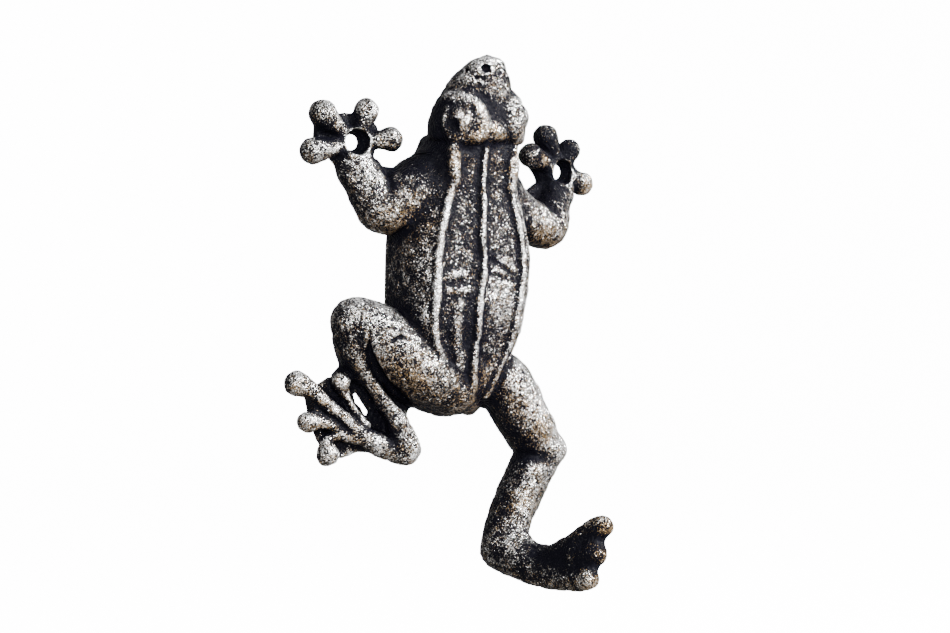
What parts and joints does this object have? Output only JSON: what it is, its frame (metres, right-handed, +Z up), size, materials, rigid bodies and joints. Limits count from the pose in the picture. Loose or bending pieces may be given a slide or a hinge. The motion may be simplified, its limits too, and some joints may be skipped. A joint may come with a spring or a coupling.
{
  "type": "wall hook",
  "caption": "Cast iron wall hook shaped as a climbing frog, with a countersunk screw hole in each palm and a hind foot that stands out from the wall and curls up as the hook.",
  "frame": {"origin": "on the wall, midway between the two palm screw holes", "axes": "+Z up the wall towards the frog's nose, +Y into the wall, +X towards the frog's right"},
  "size_m": [0.104, 0.0458, 0.1534],
  "materials": {
    "antique_iron": "black sand-cast iron, dry-brushed with silver on the raised parts, a little brown in the shaded edges"
  },
  "bodies": {
    "root": {"torso": "antique_iron", "head": "antique_iron", "left_arm": "antique_iron", "left_hand": "antique_iron", "right_arm": "antique_iron", "right_hand": "antique_iron", "left_thigh": "antique_iron", "left_shin": "antique_iron", "left_foot": "antique_iron", "right_thigh": "antique_iron", "right_shin": "antique_iron", "hook_foot": "antique_iron"}
  },
  "joints": []
}
